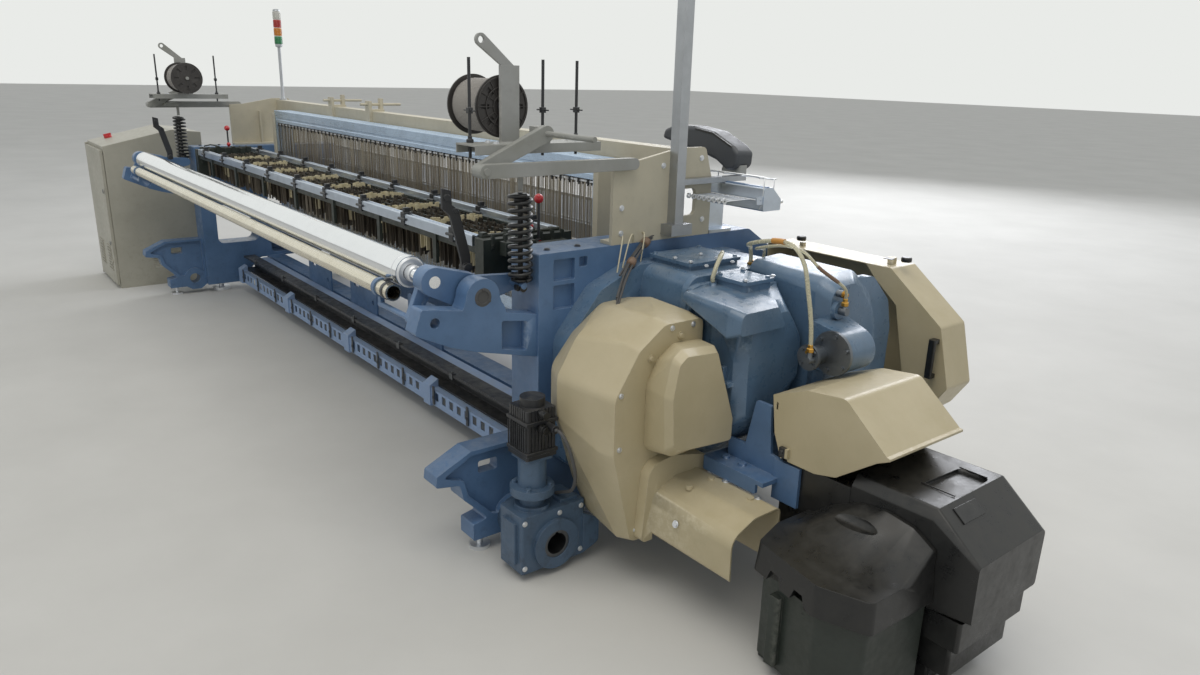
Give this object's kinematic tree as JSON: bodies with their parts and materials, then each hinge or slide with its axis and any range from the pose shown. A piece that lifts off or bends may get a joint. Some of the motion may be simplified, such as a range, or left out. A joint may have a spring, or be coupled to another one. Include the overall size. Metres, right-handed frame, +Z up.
{
  "type": "power loom",
  "caption": "Wide rapier weaving loom, warp side shown, with heald frames, warp stop motion, backrest rollers, bobbin stands, side dobby, let-off drive and control cabinet",
  "frame": {"origin": "On the floor under the centre foot of the low beam, at mid-width of the cloth and under the heald frames", "axes": "+X toward the drive and dobby end, +Y toward the cloth side where the weaver stands, +Z up"},
  "size_m": [6.85, 1.849, 2.022],
  "materials": {
    "blue_paint": "semi-gloss, worn and oily in places",
    "blue_grey_paint": "semi-gloss with an oil film",
    "beige_paint": "satin",
    "cabinet_paint": "satin",
    "black_plastic": "fine grained",
    "dark_casting": "painted dark, matte",
    "black_metal": "satin",
    "bright_steel": "brushed",
    "chrome_steel": "polished",
    "aluminium_rail": "natural",
    "duct_plastic": "smooth",
    "clear_plastic": "translucent tube",
    "red_plastic": "glossy",
    "black_rubber": "matte",
    "roller_cover": "grained friction covering",
    "spool_plastic": "smooth",
    "lamp_plastic": "smooth"
  },
  "bodies": {
    "frame": {"side_frame_near": "blue_paint", "side_frame_far": "blue_paint", "cross_members": "blue_paint", "harness_rail": "black_metal", "cable_ducts": "duct_plastic", "rear_brackets": "blue_paint", "levelling_feet": "bright_steel", "gear_housing_inner": "blue_grey_paint", "gear_housing_middle": "blue_grey_paint", "gear_housing_outer": "blue_grey_paint", "oil_pump": "blue_grey_paint", "oil_tubes": "clear_plastic", "drive_cover": "beige_paint", "drive_cover_bulge": "beige_paint", "shaft_cover": "beige_paint", "dobby_pedestal": "blue_paint", "dobby_hood": "beige_paint", "dobby_body": "dark_casting", "dobby_lid": "black_plastic", "dobby_case": "black_plastic", "arch_beam": "beige_paint", "arch_plates": "beige_paint", "mast": "aluminium_rail", "stack_light": "lamp_plastic", "bobbin_stand_near": "beige_paint", "bobbin_stand_far": "beige_paint", "stop_motion_frame": "aluminium_rail", "droppers": "bright_steel", "weft_presenter": "aluminium_rail", "letoff_gearbox": "blue_grey_paint", "letoff_motor": "black_metal", "letoff_cable": "black_rubber", "control_cabinet": "cabinet_paint", "breast_beam": "blue_paint"},
    "backrest": {"backrest_arms": "blue_paint", "tension_springs": "black_metal"},
    "backrest_roller": {"backrest_roller": "chrome_steel"},
    "deflector_tube": {"deflector_tube": "beige_paint"},
    "letoff_hub": {"letoff_hub": "black_metal"},
    "spool_near": {"spool_near": "spool_plastic"},
    "spool_far": {"spool_far": "spool_plastic"},
    "stop_lever_near": {"stop_lever_near": "red_plastic"},
    "stop_lever_far": {"stop_lever_far": "red_plastic"},
    "presenter_fingers": {"presenter_fingers": "bright_steel"},
    "sley": {"sley": "bright_steel", "reed": "bright_steel"},
    "take_up_roller": {"take_up_roller": "roller_cover"},
    "press_roller": {"press_roller": "black_rubber"},
    "cloth_roller": {"cloth_roller": "bright_steel"},
    "front_guard": {"front_guard": "beige_paint", "guard_handle": "black_plastic"},
    "cabinet_door": {"cabinet_door": "cabinet_paint"},
    "main_switch": {"main_switch": "red_plastic"},
    "control_terminal": {"control_terminal": "black_plastic"},
    "heald_frame_1": {"heald_frame_1": "aluminium_rail"},
    "heald_frame_2": {"heald_frame_2": "aluminium_rail"},
    "heald_frame_3": {"heald_frame_3": "aluminium_rail"},
    "heald_frame_4": {"heald_frame_4": "aluminium_rail"},
    "heald_frame_5": {"heald_frame_5": "aluminium_rail"},
    "heald_frame_6": {"heald_frame_6": "aluminium_rail"}
  },
  "joints": [
    {"name": "backrest_swing", "type": "hinge", "parent": "frame", "child": "backrest", "pos_m": [0, -0.71, 0.94], "axis": [1, 0, 0], "range_deg": [-3, 3], "deforming": ["tension_springs"]},
    {"name": "backrest_roll", "type": "hinge", "parent": "backrest", "child": "backrest_roller", "pos_m": [0, -0.84, 0.99], "axis": [1, 0, 0], "continuous": true},
    {"name": "deflector_roll", "type": "hinge", "parent": "backrest", "child": "deflector_tube", "pos_m": [0, -0.905, 0.928], "axis": [1, 0, 0], "continuous": true},
    {"name": "letoff_turn", "type": "hinge", "parent": "frame", "child": "letoff_hub", "pos_m": [2.325, -0.577, 0.112], "axis": [1, 0, 0], "continuous": true},
    {"name": "spool_near_turn", "type": "hinge", "parent": "frame", "child": "spool_near", "pos_m": [1.995, -0.54, 1.53], "axis": [1, 0, 0], "continuous": true},
    {"name": "spool_far_turn", "type": "hinge", "parent": "frame", "child": "spool_far", "pos_m": [-1.995, -0.54, 1.53], "axis": [1, 0, 0], "continuous": true},
    {"name": "stop_lever_near_tilt", "type": "hinge", "parent": "frame", "child": "stop_lever_near", "pos_m": [1.952, -0.3, 1.03], "axis": [1, 0, 0], "range_deg": [-15, 15]},
    {"name": "stop_lever_far_tilt", "type": "hinge", "parent": "frame", "child": "stop_lever_far", "pos_m": [-1.952, -0.3, 1.03], "axis": [1, 0, 0], "range_deg": [-15, 15]},
    {"name": "feeder_tilt", "type": "hinge", "parent": "frame", "child": "presenter_fingers", "pos_m": [2.34, 0.304, 1.215], "axis": [1, 0, 0], "range_deg": [-6, 6]},
    {"name": "sley_beat", "type": "hinge", "parent": "frame", "child": "sley", "pos_m": [0, 0.4, 0.45], "axis": [1, 0, 0], "range_deg": [-9, 0]},
    {"name": "take_up_turn", "type": "hinge", "parent": "frame", "child": "take_up_roller", "pos_m": [0, 0.7, 0.56], "axis": [1, 0, 0], "continuous": true},
    {"name": "press_turn", "type": "hinge", "parent": "frame", "child": "press_roller", "pos_m": [0, 0.5955, 0.60873], "axis": [1, 0, 0], "continuous": true},
    {"name": "cloth_turn", "type": "hinge", "parent": "frame", "child": "cloth_roller", "pos_m": [0, 0.69, 0.33], "axis": [1, 0, 0], "continuous": true},
    {"name": "guard_swing", "type": "hinge", "parent": "frame", "child": "front_guard", "pos_m": [2.284, 0.784, 0.8], "axis": [0, 0, 1], "range_deg": [0, 80]},
    {"name": "cabinet_door_swing", "type": "hinge", "parent": "frame", "child": "cabinet_door", "pos_m": [-3.153, -1.012, 0.5], "axis": [0, 0, 1], "range_deg": [-110, 0]},
    {"name": "main_switch_turn", "type": "hinge", "parent": "frame", "child": "main_switch", "pos_m": [-3.01, -0.88, 1.06809], "axis": [0, -0.2279, 0.9737], "range_deg": [0, 90]},
    {"name": "terminal_swivel", "type": "hinge", "parent": "frame", "child": "control_terminal", "pos_m": [2.271, 0.424, 1.3], "axis": [0, 0, 1], "range_deg": [-45, 15]},
    {"name": "heald_frame_1_lift", "type": "slide", "parent": "frame", "child": "heald_frame_1", "axis": [0, 0, 1], "range_m": [-0.04, 0.04]},
    {"name": "heald_frame_2_lift", "type": "slide", "parent": "frame", "child": "heald_frame_2", "axis": [0, 0, 1], "range_m": [-0.04, 0.04]},
    {"name": "heald_frame_3_lift", "type": "slide", "parent": "frame", "child": "heald_frame_3", "axis": [0, 0, 1], "range_m": [-0.04, 0.04]},
    {"name": "heald_frame_4_lift", "type": "slide", "parent": "frame", "child": "heald_frame_4", "axis": [0, 0, 1], "range_m": [-0.04, 0.04]},
    {"name": "heald_frame_5_lift", "type": "slide", "parent": "frame", "child": "heald_frame_5", "axis": [0, 0, 1], "range_m": [-0.04, 0.04]},
    {"name": "heald_frame_6_lift", "type": "slide", "parent": "frame", "child": "heald_frame_6", "axis": [0, 0, 1], "range_m": [-0.04, 0.04]}
  ],
  "couplings": [
    {"joint": "press_turn", "follows": "take_up_turn", "ratio": -2.2857}
  ]
}
